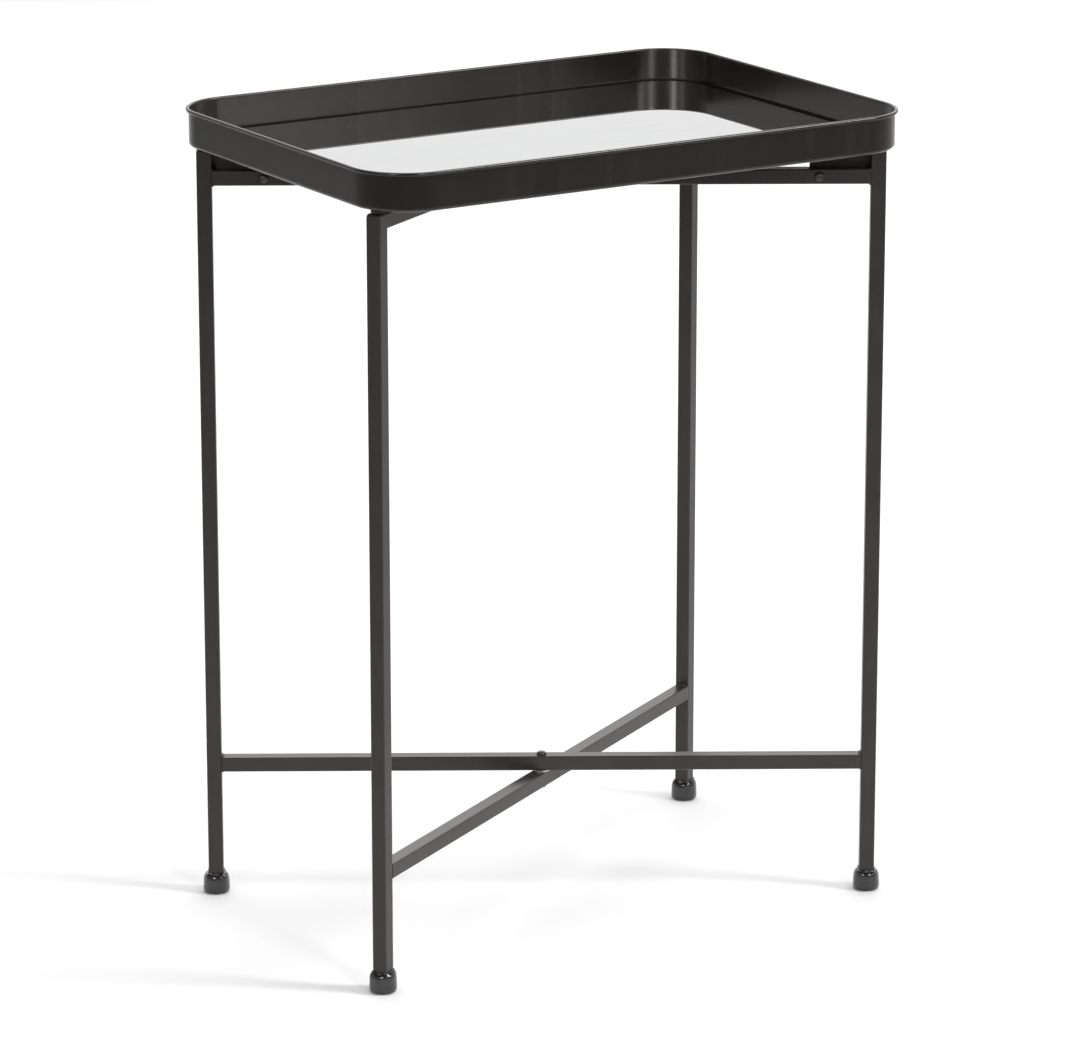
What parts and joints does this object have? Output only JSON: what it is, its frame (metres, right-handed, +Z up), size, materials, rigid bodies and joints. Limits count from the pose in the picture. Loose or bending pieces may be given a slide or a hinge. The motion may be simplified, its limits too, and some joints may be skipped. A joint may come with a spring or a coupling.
{
  "type": "folding tray side table",
  "caption": "Rectangular metal tray with a mirror floor and rolled rim, resting on a folding stand of crossed square-tube frames with capped feet.",
  "frame": {"origin": "on the floor, on the vertical pivot axis of the stand, under the centre of the tray", "axes": "+Z up along the legs, +X along the tray's long side, +Y across the tray towards the back"},
  "size_m": [0.4866, 0.3446, 0.65],
  "materials": {
    "tray_paint": "satin black powder coat",
    "frame_paint": "satin black powder coat",
    "mirror": "silvered float glass with a polished edge",
    "foam_tape": "white double-sided foam tape",
    "foot_rubber": "glossy black moulded vinyl",
    "pad_rubber": "matt black rubber",
    "rivet_black": "gloss black paint over steel",
    "washer_zinc": "bright zinc plate"
  },
  "bodies": {
    "fixed_frame": {"leg_front": "frame_paint", "leg_back": "frame_paint", "foot_cap_front": "foot_rubber", "foot_cap_back": "foot_rubber", "tray_pad_front": "pad_rubber", "tray_pad_back": "pad_rubber", "fixed_top_bar": "frame_paint", "fixed_lower_bar": "frame_paint", "lower_pivot_rivet": "rivet_black", "upper_pivot_rivet": "rivet_black", "lower_pivot_washer": "washer_zinc", "upper_pivot_spacer": "washer_zinc"},
    "swing_frame": {"leg_left": "frame_paint", "leg_right": "frame_paint", "foot_cap_left": "foot_rubber", "foot_cap_right": "foot_rubber", "tray_pad_left": "pad_rubber", "tray_pad_right": "pad_rubber", "swing_top_bar": "frame_paint", "swing_lower_bar": "frame_paint", "tray_bracket_left": "frame_paint", "tray_bracket_right": "frame_paint", "bracket_rivet_left": "rivet_black", "bracket_rivet_right": "rivet_black"},
    "tray": {"tray_pan": "tray_paint", "mirror_glass": "mirror", "mirror_tape": "foam_tape"}
  },
  "joints": [
    {"name": "stand_fold", "type": "hinge", "parent": "fixed_frame", "child": "swing_frame", "pos_m": [0, 0, 0.104], "axis": [0, 0, 1], "range_deg": [-113.5, 56.8]},
    {"name": "tray_lift", "type": "slide", "parent": "fixed_frame", "child": "tray", "axis": [0, 0, 1], "range_m": [0, 0.12]}
  ]
}
